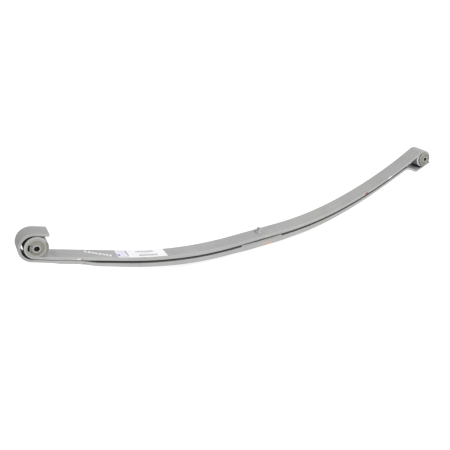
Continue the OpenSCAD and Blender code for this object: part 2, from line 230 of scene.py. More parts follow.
def spring_paint(name, bent=True, marks=()):
    """Grey paint, sprayed on peened steel in a thin coat, chipped at the edges and a bit dusty.

    A mark is a spot of its own: its centre and half sizes in millimetres, its turn in degrees, its
    colour, and how much of the paint it covers.
    """
    finish, tree, shader, place = new_finish(name, bent)
    # The coat itself, with dust, the streaks of the rolling mill and a fine speckle
    cloud = between(tree, grain(tree, place, 9.0, 4.0), 0.3, 0.7, 0.94, 1.06)
    rolled = grain(tree, stretch(tree, place, (4.0, 170.0, 4.0)), 1.0)
    streak = between(tree, rolled, 0.3, 0.7, 0.965, 1.035)
    speckle = between(tree, grain(tree, place, 380.0, 3.0, 0.7), 0.25, 0.75, 0.93, 1.07)
    dusty = between(tree, grain(tree, place, 6.0, 5.0, 0.62), 0.50, 0.76, 0.0, 0.22)
    colour = lay(tree, leaf_grey, road_dust, dusty)
    colour = tone(tree, colour, combine(tree, "MULTIPLY", cloud, streak, speckle))

    # Chips on the rounded edges, pits, and long scuffs
    rim = node(tree, "ShaderNodeAttribute", attribute_name="rim").outputs["Fac"]
    flaking = between(tree, grain(tree, place, 30.0, 6.0, 0.72), 0.60, 0.65)
    pits = between(tree, grain(tree, place, 140.0, 4.0, 0.7), 0.72, 0.75, 0.0, 0.7)
    worn = combine(tree, "MAXIMUM", combine(tree, "MULTIPLY", rim, flaking), pits)
    rubbed = between(tree, grain(tree, place, 5.0, 4.0, 0.6), 0.50, 0.62)
    drawn = grain(tree, stretch(tree, place, (16.0, 420.0, 420.0)), 1.0, 5.0, 0.7)
    scratched = between(tree, drawn, 0.64, 0.68, 0.0, 0.55)
    scuffs = combine(tree, "MULTIPLY", rubbed, scratched)
    metal = lay(tree, bare_steel, rust, between(tree, grain(tree, place, 75.0), 0.42, 0.62))
    colour = lay(tree, colour, metal, combine(tree, "MULTIPLY", worn, chip_share))
    colour = lay(tree, colour, bare_steel, scuffs)

    # The marks, each with a torn rim
    torn = ragged(tree, place, torn_rim)
    for centre, size, turn, tint, strength in marks:
        centre, size = (tuple(mm * value for value in row) for row in (centre, size))
        patch = spot(tree, torn, centre, size, tuple(radians(value) for value in turn))
        colour = lay(tree, colour, tint, combine(tree, "MULTIPLY", patch, strength))

    # The far rim and the underside in a thin coat where the spray only reached thinly; on the faces
    # that look down this darkening is also painted shade
    axes = node(tree, "ShaderNodeSeparateXYZ", {0: torn}).outputs
    under = node(tree, "ShaderNodeAttribute", attribute_name="under").outputs["Fac"]
    far_rim = between(tree, axes["Y"], thin_coat_from, thin_coat_to)
    thin_and_shaded = combine(tree, "MAXIMUM", far_rim, under)
    thin_and_shaded = combine(tree, "MULTIPLY", thin_and_shaded, thin_coat_and_shade_share)
    colour = lay(tree, colour, thin_coat_and_shade, thin_and_shaded)

    # Bare scale where a neighbour hid the steel, darker deeper into each gap and near black inside
    # the
    # hook: partly real scale, partly painted shade
    inside = node(tree, "ShaderNodeAttribute", attribute_name="sheltered").outputs["Fac"]
    at_eye = between(tree, axes["X"], hook_shade_from, hook_shade_to)
    depth = between(tree, alone(tree, "ABSOLUTE", axes["Y"]), scale_rim, scale_deep,
                    between(tree, at_eye, 0.0, 1.0, rim_share, deep_share), deep_share)
    rusting = between(tree, grain(tree, place, 22.0, 5.0), 0.5, 0.75, 0.0, 0.16)
    scale = lay(tree, mill_scale, rust, rusting)
    scale = tone(tree, scale, between(tree, at_eye, 0.0, 1.0, 1.0, hook_shade))
    colour = lay(tree, colour, scale, combine(tree, "MULTIPLY", inside, depth))
    tree.links.new(colour, shader.inputs["Base Color"])

    # A dull sheen over the peened dimples, the rolling streaks and the chips' edges
    sheen = between(tree, grain(tree, place, 55.0), 0.3, 0.7, 0.50, 0.64)
    tree.links.new(sheen, shader.inputs["Roughness"])
    shader.inputs["Specular IOR Level"].default_value = paint_gloss
    dimples = node(tree, "ShaderNodeTexVoronoi",
                   {"Vector": place, "Scale": 620.0}).outputs["Distance"]
    relief(tree, shader, (rolled, 0.10 * mm), (grain(tree, place, 120.0), 0.12 * mm),
           (dimples, 0.05 * mm), (worn, -0.10 * mm))
    return finish


def solid_of(name):
    """A working copy of a CAD node, its triangles joined up and its flats made whole."""
    work = bmesh.new()
    work.from_mesh(frame["nodes"][name].data)
    bmesh.ops.remove_doubles(work, verts=work.verts, dist=weld_gap)
    bmesh.ops.dissolve_limit(work, angle_limit=radians(flat_within), verts=work.verts,
                             edges=work.edges)
    return work


def ease_edges(work, width, segments=3, corner=30.0, only=None):
    """Rounds the outer edges sharper than a corner, and marks the rounded faces as rim."""
    rim = work.faces.layers.float.get("rim") or work.faces.layers.float.new("rim")
    sharp = [edge for edge in work.edges
             if edge.is_manifold and edge.is_convex and edge.calc_face_angle() > radians(corner)
             and (only is None or only(edge))]
    made = bmesh.ops.bevel(work, geom=sharp, offset=width, offset_type="OFFSET", affect="EDGES",
                           segments=segments, profile=0.5, material=-1, clamp_overlap=False)
    for face in made["faces"]:
        face[rim] = 1.0


def slice_at(work, x, keep_side=0):
    """Cuts a working mesh square across at x, and may keep one side of it only."""
    bmesh.ops.bisect_plane(work, geom=work.verts[:] + work.edges[:] + work.faces[:], dist=cut_gap,
                           plane_co=(x, 0.0, 0.0), plane_no=(-keep_side or 1.0, 0.0, 0.0),
                           clear_outer=keep_side != 0)
    if keep_side:
        bmesh.ops.holes_fill(work, edges=[edge for edge in work.edges if edge.is_boundary])


def piece_of(work, name, finish, slot, *stands_for):
    """A finished piece from a working mesh, shaded smooth between its hard corners."""
    rest = work.verts.layers.float_vector.new("rest")
    for vert in work.verts:
        vert[rest] = vert.co
    mesh = bpy.data.meshes.new(name)
    work.to_mesh(mesh)
    work.free()
    mesh.materials.append(finish)
    mesh.shade_smooth()
    mesh.set_sharp_from_angle(angle=radians(smooth_below))
    piece = bpy.data.objects.new(name, mesh)
    scene.collection.objects.link(piece)
    even = piece.modifiers.new("even_shading", "WEIGHTED_NORMAL")
    even.keep_sharp = True
    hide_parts(*stands_for)
    return piece


def joint_at(name):
    """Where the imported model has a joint."""
    return Vector(next(joint["pos_m"] for joint in frame["joints"] if joint["name"] == name))


front_axis, rear_axis = joint_at("front_bush_twist"), joint_at("rear_bush_twist")
scarf_reach = 9 * mm
scarf_tips = [(axis.x + radius * cos(radians(angle)), axis.z + radius * sin(radians(angle)))
              for axis, radius, angle in ((front_axis, 31 * mm, -84), (rear_axis, 26 * mm, 142))]


def bend_with(piece):
    """Bakes a piece's place in the scene into its mesh."""
    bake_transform(piece)


def shelter(work, *neighbours):
    """Marks the faces that a neighbour hid from the spray, and how far each point looks down, for the
    painted shade on undersides.
    """
    hidden = work.faces.layers.float.new("sheltered")
    below = work.verts.layers.float.new("under")
    covers = [BVHTree.FromBMesh(solid_of(name)) for name in neighbours]
    for face in work.faces:
        start = face.calc_center_median() + shelter_start * face.normal
        if any(cover.ray_cast(start, face.normal, shelter_reach)[0] for cover in covers):
            face[hidden] = 1.0
    work.normal_update()
    for vert in work.verts:
        vert[below] = min(1.0, max(0.0, underside_shade_gain * -vert.normal.z - underside_shade_from))


def beside_scarf(edge):
    """Whether an edge is at the thin scarfed end of a roll, where nothing can be rounded."""
    middle = (edge.verts[0].co + edge.verts[1].co) / 2
    return any(Vector((middle.x - x, middle.z - z)).length < scarf_reach for x, z in scarf_tips)


def leaf_half(leaf, arm, finish, *neighbours):
    """One arm of a leaf, with rungs across it so that it bends evenly."""
    work = solid_of(leaf)
    ease_edges(work, leaf_edge, only=lambda edge: not beside_scarf(edge))
    slice_at(work, halves_meet, -1 if arm == "front" else 1)
    low = min(vert.co.x for vert in work.verts)
    high = max(vert.co.x for vert in work.verts)
    for step in range(1, int((high - low) / rung_pitch)):
        slice_at(work, low + step * rung_pitch)
    shelter(work, *neighbours)
    bend_with(piece_of(work, f"{leaf}_{arm}", finish, "leaf_paint", leaf))


# The near flank of the leaves and their spacer, in millimetres
near = -35
second_marks = (
    ((14, near, 7), (9, 5, 3.6), (0, -6, 0), old_primer, 0.75),
    ((27, near, 5), (12, 5, 4.4), (0, -6, 0), old_primer, 0.9),
    ((-699, near, 132), (9, 5, 2.0), (0, 0, 0), rust, 0.7),
    # Painted shade over the outside of the hook round the front eye
    ((-860, 0, 240), (85, 60, 75), (0, 0, 0), hook_outer_shade, 0.75),
)
second_paint = spring_paint("second_leaf_paint", marks=second_marks)
for arm in ("front", "rear"):
    leaf_half("second_leaf", arm, second_paint, "main_leaf", "spacer_plate")


# ---- Spacer plate --------------------------------------------------------------------------------
# A sheared steel plate between the two leaves over the axle, painted with them. Its cut ends are
# square and only lightly broken. Grime has settled in the joints above and below it, and the dark
# bands there are also painted shade between the parts.
# Grime in the joints, which is also painted shade between the parts
joint_grime_and_shade = (0.050, 0.048, 0.043)
spacer_edge = 0.8 * mm

work = solid_of("spacer_plate")
ease_edges(work, spacer_edge)
spacer_marks = (
    # Dark bands along the joints above and below: grime, and painted shade between the parts
    ((-5, near, 27.9), (92, 4, 2.2), (0, 0, 0), joint_grime_and_shade, 0.95),
    ((-5, near, 20.6), (92, 4, 0.9), (0, 0, 0), joint_grime_and_shade, 0.5),
)
spacer = piece_of(work, "spacer", spring_paint("spacer_paint", bent=False, marks=spacer_marks),
                  "leaf_paint", "spacer_plate")
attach(spacer, "spring_centre")


# ---- Seat liner ----------------------------------------------------------------------------------
# A black plastic sheet on the spacer, which keeps the main leaf from fretting on it. It is cut a
# little narrower than the leaves, so only its edge is seen.
liner_black = (0.030, 0.030, 0.029)
liner_edge = 0.25 * mm


def moulded_black(name, bent=False):
    """Matt black plastic with a fine moulded grain, and grey paint mist and dust on it."""
    finish, tree, shader, place = new_finish(name, bent)
    mist = between(tree, grain(tree, place, 240.0, 4.0, 0.7), 0.55, 0.80, 0.0, 0.12)
    film = between(tree, grain(tree, place, 18.0, 4.0), 0.4, 0.75, 0.0, 0.05)
    colour = lay(tree, liner_black, leaf_grey, combine(tree, "MAXIMUM", mist, film))
    tree.links.new(colour, shader.inputs["Base Color"])
    tree.links.new(between(tree, grain(tree, place, 90.0), 0.3, 0.7, 0.55, 0.72),
                   shader.inputs["Roughness"])
    relief(tree, shader, (grain(tree, place, 900.0, 2.0), 0.03 * mm),
           (grain(tree, place, 60.0), 0.10 * mm))
    return finish


work = solid_of("seat_liner")
ease_edges(work, liner_edge, segments=2)
liner = piece_of(work, "liner", moulded_black("liner_plastic"), "liner_plastic", "seat_liner")
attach(liner, "spring_centre")


# ---- Tip pads ------------------------------------------------------------------------------------
# Two black plastic blocks between the leaf tips, on which the lower leaf slides. The rear one has a
# button that snaps into a hole of the lower leaf.
pad_edge = 0.6 * mm
pad_black = moulded_black("pad_plastic", bent=True)
for arm in ("front", "rear"):
    work = solid_of(f"{arm}_tip_pad")
    ease_edges(work, pad_edge, segments=2)
    bend_with(piece_of(work, f"{arm}_pad", pad_black, "pad_plastic", f"{arm}_tip_pad"))


# ---- Main leaf -----------------------------------------------------------------------------------
# The upper leaf, of the same peened and painted steel, with an eye rolled at each end: the front
# one upwards, the rear one downwards. Handling has chipped its near edge, and eight dabs of white
# paint run across the top of its front arm.
chalk = (0.86, 0.85, 0.82)
dry_clay = (0.60, 0.55, 0.42)
ochre_stain = (0.66, 0.58, 0.40)
dark_rust = (0.27, 0.085, 0.065)
pale_rust = (0.50, 0.27, 0.20)
# A painted highlight beside the rear eye
rear_eye_highlight = (0.60, 0.64, 0.66)
# Darker olive round the foot of the front eye; on the leaf's top it is a painted contact shadow
eye_foot_dark = (0.200, 0.188, 0.150)
dab_white = (0.93, 0.93, 0.92)
dab_width, dab_height = 3.3, 6
dab_shapes = ((9.5, 20), (8.0, -6), (10.0, 34))
main_marks = [
    ((-731, near, 160), (12, 5, 1.8), (0, 17, 0), dry_clay, 0.6),
    ((-713, near, 154), (8, 6, 2.2), (0, 17, 0), chalk, 0.85),
    ((-702, near, 150), (4, 5, 2.0), (0, 17, 0), rust, 0.75),
    ((18, near, 35), (11, 5, 3.0), (0, 0, 0), ochre_stain, 0.45),
    ((505, near, 103), (8, 9, 4.6), (0, -14, 0), dark_rust, 0.95),
    ((515, near, 106), (5, 8, 3.4), (0, -14, 0), pale_rust, 0.7),
    ((629, near, 147), (12, 9, 4.0), (0, -20, 0), chalk, 0.95),
    ((642, near, 152), (8, 7, 3.4), (0, -20, 0), old_primer, 0.95),
    ((-242, near, 52), (12, 7, 1.4), (0, 5, 0), bare_steel, 0.85),
    # Darker olive on the near face of the front roll and along its joint with the leaf
    ((-803, near, 222), (10, 4, 26), (0, 0, 0), eye_foot_dark, 0.9),
    ((-816, near, 203), (18, 4, 10), (0, 17, 0), eye_foot_dark, 0.75),
    # A painted contact shadow on the leaf's top beside the front roll
    ((-784, 0, 190), (24, 45, 6), (0, 17, 0), eye_foot_dark, 0.6),
    # A painted highlight on the near face where the leaf runs into the rear eye
    ((778, near, 190), (12, 4, 22), (0, 0, 0), rear_eye_highlight, 0.7),
    # Dark band along the joint under the main leaf: grime, and painted shade between the parts
    ((-5, near, 29.4), (94, 4, 2.9), (0, 0, 0), joint_grime_and_shade, 0.95),
    # A painted contact shadow round the foot of the nut's flange
    ((0, 0, 44), (14.0, 14.0, 3), (0, 0, 0), joint_grime_and_shade, 0.55),
]
dab_from, dab_to, dab_count = (-679, 17, 150.0), (-600, -13, 125.2), 8
for number in range(dab_count):
    share = number / (dab_count - 1)
    centre = tuple(a + share * (b - a) for a, b in zip(dab_from, dab_to))
    length, slant = dab_shapes[number % len(dab_shapes)]
    main_marks.append((centre, (dab_width, length, dab_height), (0, 0, slant), dab_white, 1.0))
main_paint = spring_paint("main_leaf_paint", marks=main_marks)
for arm in ("front", "rear"):
    leaf_half("main_leaf", arm, main_paint, "second_leaf", "spacer_plate")


# ---- Centre bolt ---------------------------------------------------------------------------------
# The M12 bolt that holds the stack together. Its round head below is the dowel that locates the
# spring on the axle, and its rolled thread stands out of the nut above.
bolt_low, bolt_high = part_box("centre_bolt")
nut_low, nut_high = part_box("centre_nut")
head_r = bolt_high.x
head_edge = 1.2 * mm
thread_r = 6 * mm
crest_r, root_r = thread_r - 0.1 * mm, thread_r - 0.95 * mm
crest_from, crest_to = 0.44, 0.56
thread_pitch = 1.75 * mm
thread_chamfer = 1.2 * mm
spin_steps = 48
shop_dirt = (0.13, 0.12, 0.10)
worn_plating = (0.52, 0.52, 0.50)
bolt_coat = (0.34, 0.34, 0.33)


def fastener_paint(name, coat):
    """Grey sprayed over plated steel, thinner where a tool or a thread has worked."""
    finish, tree, shader, place = new_finish(name)
    rubbed = between(tree, grain(tree, place, 210.0, 4.0, 0.7), 0.48, 0.66, 0.0, 0.6)
    rim = node(tree, "ShaderNodeAttribute", attribute_name="rim").outputs["Fac"]
    bare = combine(tree, "MULTIPLY", rim, rubbed)
    dirt = between(tree, grain(tree, place, 130.0), 0.45, 0.7, 0.0, 0.35)
    colour = lay(tree, coat, shop_dirt, dirt)
    colour = lay(tree, colour, worn_plating, bare)
    tree.links.new(colour, shader.inputs["Base Color"])
    tree.links.new(combine(tree, "MULTIPLY", bare, 0.8), shader.inputs["Metallic"])
    tree.links.new(between(tree, rubbed, 0.0, 0.6, 0.52, 0.36), shader.inputs["Roughness"])
    relief(tree, shader, (grain(tree, place, 420.0), 0.06 * mm))
    return finish


def outline_of(work, points, closed=True):
    """A line of edges in a working mesh, through points."""
    verts = [work.verts.new(point) for point in points]
    ends = verts[1:] + (verts[:1] if closed else [])
    return [work.edges.new(pair) for pair in zip(verts, ends)]


bolt_steel = fastener_paint("bolt_steel", bolt_coat)
work = bmesh.new()
shank = outline_of(work, [(0, 0, bolt_low.z), (head_r, 0, bolt_low.z), (head_r, 0, 0),
                          (thread_r, 0, 0), (thread_r, 0, nut_low.z), (0, 0, nut_low.z)],
                   closed=False)
bmesh.ops.spin(work, geom=[*work.verts, *shank], cent=(0, 0, 0), axis=(0, 0, 1), angle=2 * pi,
               steps=spin_steps, use_merge=True)
bmesh.ops.remove_doubles(work, verts=work.verts, dist=weld_gap)
bmesh.ops.recalc_face_normals(work, faces=work.faces)
ease_edges(work, head_edge)
shank_piece = piece_of(work, "bolt_shank", bolt_steel, "bolt_steel", "centre_bolt")
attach(shank_piece, "spring_centre")

work = bmesh.new()
thread_low = nut_high.z - 2 * thread_pitch
turns = int((bolt_high.z - thread_low) / thread_pitch) + 3
start_z = thread_low - thread_pitch
flank = [(root_r, 0.0, start_z),
         (crest_r, 0.0, start_z + crest_from * thread_pitch),
         (crest_r, 0.0, start_z + crest_to * thread_pitch),
         (root_r, 0.0, start_z + thread_pitch)]
edges = outline_of(work, flank, closed=False)
bmesh.ops.spin(work, geom=[*work.verts, *edges], cent=(0, 0, 0), axis=(0, 0, 1),
               dvec=(0, 0, thread_pitch / spin_steps), angle=2 * pi * turns,
               steps=spin_steps * turns)
bmesh.ops.remove_doubles(work, verts=work.verts, dist=weld_gap)
for z, way in ((thread_low, -1.0), (bolt_high.z, 1.0)):
    bmesh.ops.bisect_plane(work, geom=[*work.verts, *work.edges, *work.faces], dist=cut_gap,
                           plane_co=(0, 0, z), plane_no=(0, 0, way), clear_outer=True)
    bmesh.ops.holes_fill(work, edges=[edge for edge in work.edges if edge.is_boundary and
                                      all(abs(vert.co.z - z) < 1e-6 for vert in edge.verts)])
for vert in work.verts:
    reach = vert.co.xy.length
    limit = thread_r - thread_chamfer + (bolt_high.z - vert.co.z)
    if reach > limit:
        vert.co.xy *= limit / reach
bmesh.ops.recalc_face_normals(work, faces=work.faces)
thread_piece = piece_of(work, "bolt_thread", bolt_steel, "bolt_steel", "centre_bolt")
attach(thread_piece, "spring_centre")


# ---- Centre nut ----------------------------------------------------------------------------------
# A flanged steel nut, forged and tapped, whose corners are chamfered. It was tightened before the
# spring was sprayed.
nut_edge = 0.35 * mm
nut_coat = (0.46, 0.46, 0.45)

work = solid_of("centre_nut")
ease_edges(work, nut_edge, segments=2, corner=20.0)
nut_piece = piece_of(work, "nut", fastener_paint("nut_steel", nut_coat), "bolt_steel",
                     "centre_nut")
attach(nut_piece, "spring_centre")


# ---- Bushes --------------------------------------------------------------------------------------
# Each eye holds a pressed-in bush: a thin outer shell, a rubber ring moulded in it, and a thick
# inner sleeve that the bracket's bolt clamps. Lips of the rubber cover the edges of the eye, and
# the front ring has a kidney-shaped void that makes it softer lengthwise.
lathe_steps = 96
half_width = 35 * mm
dark_depth = 3 * mm
rubber_olive = (0.236, 0.231, 0.200)
raw_rubber_and_shade = (0.012, 0.011, 0.010)
shell_grey = (0.42, 0.42, 0.41)
sleeve_grey = (0.36, 0.36, 0.35)
grease_and_shade_black = (0.020, 0.016, 0.013)
grease_and_shade_brown = (0.075, 0.028, 0.018)
rubber_edge, shell_edge, sleeve_edge = 0.22 * mm, 0.3 * mm, 0.2 * mm
turned_corner = 24.0
bores = {"front": (front_axis, 9.0 * mm), "rear": (rear_axis, 7.15 * mm)}


def from_axis(tree, place, axis):
    """How far a place is from a bush's axis."""
    flat = node(tree, "ShaderNodeVectorMath",
                {0: node(tree, "ShaderNodeVectorMath", {0: place, 1: tuple(axis)},
                         operation="SUBTRACT").outputs[0], 1: (1.0, 0.0, 1.0)},
                operation="MULTIPLY").outputs[0]
    return node(tree, "ShaderNodeVectorMath", {0: flat}, operation="LENGTH").outputs["Value"]


def dark_inside(tree, place, face):
    """How far a place lies between the two faces of a bush, where painted shade darkens it."""
    across = node(tree, "ShaderNodeSeparateXYZ", {0: place}).outputs["Y"]
    return between(tree, alone(tree, "ABSOLUTE", across), face, face - dark_depth)


def bush_rubber(name, axis, lip_from, face):
    """Moulded rubber, faded olive under the overspray that caught its lips, and black inside: bare
    rubber, darkened further as painted shade in the void and bore.
    """
    finish, tree, shader, place = new_finish(name)
    reach = from_axis(tree, place, axis)
    mottled = between(tree, grain(tree, place, 70.0, 4.0), 0.3, 0.7, 0.90, 1.10)
    speckle = between(tree, grain(tree, place, 520.0, 2.0), 0.3, 0.7, 0.92, 1.08)
    rings = node(tree, "ShaderNodeTexNoise", {"W": combine(tree, "MULTIPLY", reach, 900.0),
                                              "Scale": 1.0, "Detail": 2.0},
                 noise_dimensions="1D").outputs["Fac"]
    colour = tone(tree, rubber_olive, combine(tree, "MULTIPLY", mottled, speckle,
                                              between(tree, rings, 0.3, 0.7, 0.95, 1.05)))
    sprayed = between(tree, reach, lip_from - 1.5 * mm, lip_from + 1.0 * mm, 0.0, 0.75)
    patchy = between(tree, grain(tree, place, 110.0, 4.0, 0.65), 0.35, 0.6, 0.45, 1.0)
    colour = lay(tree, colour, leaf_grey, combine(tree, "MULTIPLY", sprayed, patchy))
    # Black deep in the void and bore: bare rubber, and painted shade
    bare_and_shaded = combine(tree, "MULTIPLY", dark_inside(tree, place, face),
                      between(tree, reach, lip_from + 3 * mm, lip_from + 2 * mm))
    colour = lay(tree, colour, raw_rubber_and_shade, bare_and_shaded)
    tree.links.new(colour, shader.inputs["Base Color"])
    tree.links.new(between(tree, grain(tree, place, 90.0), 0.3, 0.7, 0.62, 0.80),
                   shader.inputs["Roughness"])
    relief(tree, shader, (rings, 0.05 * mm), (grain(tree, place, 600.0), 0.05 * mm),
           (mottled, 0.15 * mm))
    return finish


def tube_steel(name, axis, base, share, bore, face):
    """Drawn steel tube, turned on its ends, with the paint's mist on it, and old grease in its bore
    that darkens with depth as painted shade.
    """
    finish, tree, shader, place = new_finish(name)
    reach = from_axis(tree, place, axis)
    turned = node(tree, "ShaderNodeTexNoise", {"W": combine(tree, "MULTIPLY", reach, 5200.0),
                                               "Scale": 1.0, "Detail": 2.0},
                  noise_dimensions="1D").outputs["Fac"]
    mist = between(tree, grain(tree, place, 260.0, 4.0, 0.7), 0.40, 0.62, share - 0.3, share)
    colour = lay(tree, base, leaf_grey, mist)
    colour = tone(tree, colour, between(tree, turned, 0.3, 0.7, 0.94, 1.06))
    # Old grease in the bore, darker with depth as painted shade
    greasy_and_shaded = combine(tree, "MULTIPLY", between(tree, reach, bore + 1.0 * mm, bore + 0.4 * mm),
                     dark_inside(tree, place, face))
    grease_and_shade = lay(tree, grease_and_shade_black, grease_and_shade_brown,
                 between(tree, grain(tree, place, 85.0), 0.45, 0.65))
    colour = lay(tree, colour, grease_and_shade, greasy_and_shaded)
    tree.links.new(colour, shader.inputs["Base Color"])
    polish = combine(tree, "SUBTRACT", between(tree, mist, 0.0, 1.0, 0.8, 0.0), greasy_and_shaded)
    tree.links.new(combine(tree, "MAXIMUM", polish, 0.0), shader.inputs["Metallic"])
    tree.links.new(between(tree, grain(tree, place, 150.0), 0.3, 0.7, 0.38, 0.52),
                   shader.inputs["Roughness"])
    relief(tree, shader, (turned, 0.02 * mm), (grain(tree, place, 300.0), 0.04 * mm))
    return finish


def ring_of(axis, outline):
    """A ring turned about a bush's axis, from its outline as (radius, across) points."""
    work = bmesh.new()
    edges = outline_of(work, [(axis.x + radius, across, axis.z) for radius, across in outline])
    bmesh.ops.spin(work, geom=[*work.verts, *edges], cent=axis, axis=(0, 1, 0), angle=2 * pi,
                   steps=lathe_steps, use_merge=True)
    bmesh.ops.remove_doubles(work, verts=work.verts, dist=weld_gap)
    bmesh.ops.recalc_face_normals(work, faces=work.faces)
    return work


def both_sides(side):
    """A closed outline from the points of one side, mirrored to the other."""
    points = [(radius * mm, across * mm) for radius, across in side]
    return points + [(radius, -across) for radius, across in reversed(points)]


def carve(work, *cutters):
    """A working mesh with closed cutter meshes taken away from it."""
    def thing(name, content):
        """An object that only stands in while the cut is made."""
        mesh = bpy.data.meshes.new(name)
        content.to_mesh(mesh)
        content.free()
        made = bpy.data.objects.new(name, mesh)
        scene.collection.objects.link(made)
        return made

    body = thing("carved", work)
    tools = [thing("cutter", cutter) for cutter in cutters]
    for tool in tools:
        cut = body.modifiers.new("cut", "BOOLEAN")
        cut.object, cut.operation, cut.solver = tool, "DIFFERENCE", "EXACT"
    cut_body = body.evaluated_get(bpy.context.evaluated_depsgraph_get())
    result = bpy.data.meshes.new_from_object(cut_body)
    carved = bmesh.new()
    carved.from_mesh(result)
    for leftover in (body, *tools):
        bpy.data.objects.remove(leftover)
    bpy.data.meshes.remove(result)
    return carved


def kidney(axis, inner, outer, start, sweep, depth_from, depth_to, corner):
    """A cutter for a void between two radii and two angles of a bush, with round corners."""
    work = bmesh.new()
    turn = Matrix.Translation(axis) @ Matrix.Rotation(-radians(start), 4, "Y")
    corners = [(inner, depth_from), (outer, depth_from), (outer, depth_to), (inner, depth_to)]
    face = work.faces.new([work.verts.new(turn @ Vector((radius, across - axis.y, 0)))
                           for radius, across in corners])
    bmesh.ops.spin(work, geom=[face, *face.edges, *face.verts], cent=axis, axis=(0, 1, 0),
                   angle=-radians(sweep), steps=16)
    bmesh.ops.recalc_face_normals(work, faces=work.faces)
    along = [edge for edge in work.edges
             if edge.calc_face_angle(0.0) > radians(60)
             and abs(edge.verts[0].co.y - edge.verts[1].co.y) > 1 * mm]
    bmesh.ops.bevel(work, geom=along, offset=corner, affect="EDGES", segments=4, profile=0.5,
                    material=-1, clamp_overlap=True)
    return work


def pin_hole(axis, radius, angle, hole_r, bottom, top):
    """A cutter for a small moulded hole, from one height across to another."""
    work = bmesh.new()
    place = Matrix.Translation(axis) @ Matrix.Rotation(-radians(angle), 4, "Y")
    middle = place @ Vector((radius, (bottom + top) / 2, 0))
    bmesh.ops.create_cone(work, cap_ends=True, segments=24, radius1=hole_r, radius2=hole_r,
                          depth=abs(top - bottom),
                          matrix=Matrix.Translation(middle) @ Matrix.Rotation(pi / 2, 4, "X"))
    return work


# Half outlines of the rubber rings as (radius, across) in millimetres, from the sleeve over the lip
# to the shell
front_side = [(13.55, 41.0), (15.6, 41.0), (16.5, 39.9), (17.1, 39.4), (21.6, 37.6), (22.3, 36.0),
              (25.8, 35.9), (26.6, 37.0), (27.3, 37.4), (31.1, 37.4), (32.0, 36.5), (32.0, 35.35),
              (29.45, 35.35)]
rear_side = [(11.05, 45.0), (13.0, 45.0), (14.0, 44.4), (14.6, 44.0), (17.6, 43.9), (18.1, 43.3),
             (19.6, 43.3), (20.1, 43.9), (25.6, 43.9), (27.0, 42.5), (27.0, 38.5), (26.4, 38.0),
             (26.4, 37.2), (27.0, 36.7), (27.0, 35.35), (24.7, 35.35)]
beyond = 60 * mm
front_pins = (-beyond, -34 * mm)
rear_pin = (-beyond, -40 * mm)
front_ring = carve(
    ring_of(front_axis, both_sides(front_side)),
    kidney(front_axis, inner=22.2 * mm, outer=28.6 * mm, start=138, sweep=52, depth_from=-beyond,
           depth_to=beyond, corner=2.4 * mm),
    pin_hole(front_axis, 17.9 * mm, 137, 2.4 * mm, *front_pins),
    pin_hole(front_axis, 19.0 * mm, 203, 2.3 * mm, *front_pins),
)
rear_ring = carve(
    ring_of(rear_axis, both_sides(rear_side)),
    pin_hole(rear_axis, 18.9 * mm, -107, 1.5 * mm, *rear_pin),
)
for arm, ring, lip_from in (("front", front_ring, 26.6 * mm), ("rear", rear_ring, 24.8 * mm)):
    axis, bore_r = bores[arm]
    ease_edges(ring, rubber_edge, segments=2, corner=turned_corner)
    rubber = piece_of(ring, f"{arm}_rubber",
                      bush_rubber(f"{arm}_rubber_face", axis, lip_from,
                                  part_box(f"{arm}_bush_rubber")[1].y - 6 * mm), "bush_rubber",
                      f"{arm}_bush_rubber")
    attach(rubber, f"{arm}_eye")

    shell = solid_of(f"{arm}_bush_shell")
    ease_edges(shell, shell_edge, segments=2)
    shell = piece_of(shell, f"{arm}_shell",
                     tube_steel(f"{arm}_shell_steel", axis, shell_grey, 0.8, bore_r, half_width),
                     "shell_steel", f"{arm}_bush_shell")
    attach(shell, f"{arm}_eye")

    low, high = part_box(f"{arm}_bush_sleeve")
    outer_r = (high.x - low.x) / 2 / mm
    end, bore = high.y / mm, bore_r / mm
    sleeve = ring_of(axis, both_sides([(bore, end - 1.0), (bore + 1.0, end), (outer_r - 0.8, end),
                                       (outer_r, end - 0.8)]))
    ease_edges(sleeve, sleeve_edge, segments=2, corner=turned_corner)
    sleeve = piece_of(sleeve, f"{arm}_sleeve",
                      tube_steel(f"{arm}_sleeve_steel", axis, sleeve_grey, 0.75, bore_r,
                                 high.y + 1 * mm),
                      "sleeve_steel", f"{arm}_bush_sleeve")
    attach(sleeve, f"{arm}_inner")


# ---- Label ---------------------------------------------------------------------------------------
# A plain paper label, stuck on the top of the front arm after painting. It is a blank form: rows of
# empty grey boxes, a rule, a faint violet first field, and a smear of blue pencil.
label_white = (0.95, 0.95, 0.965)
label_rule = (0.17, 0.16, 0.20)
field_violet = (0.60, 0.55, 0.78)
pencil_blue = (0.12, 0.14, 0.55)
box_pitch = 8.6 * mm
label_corner = 2.5 * mm
label_rungs = 12


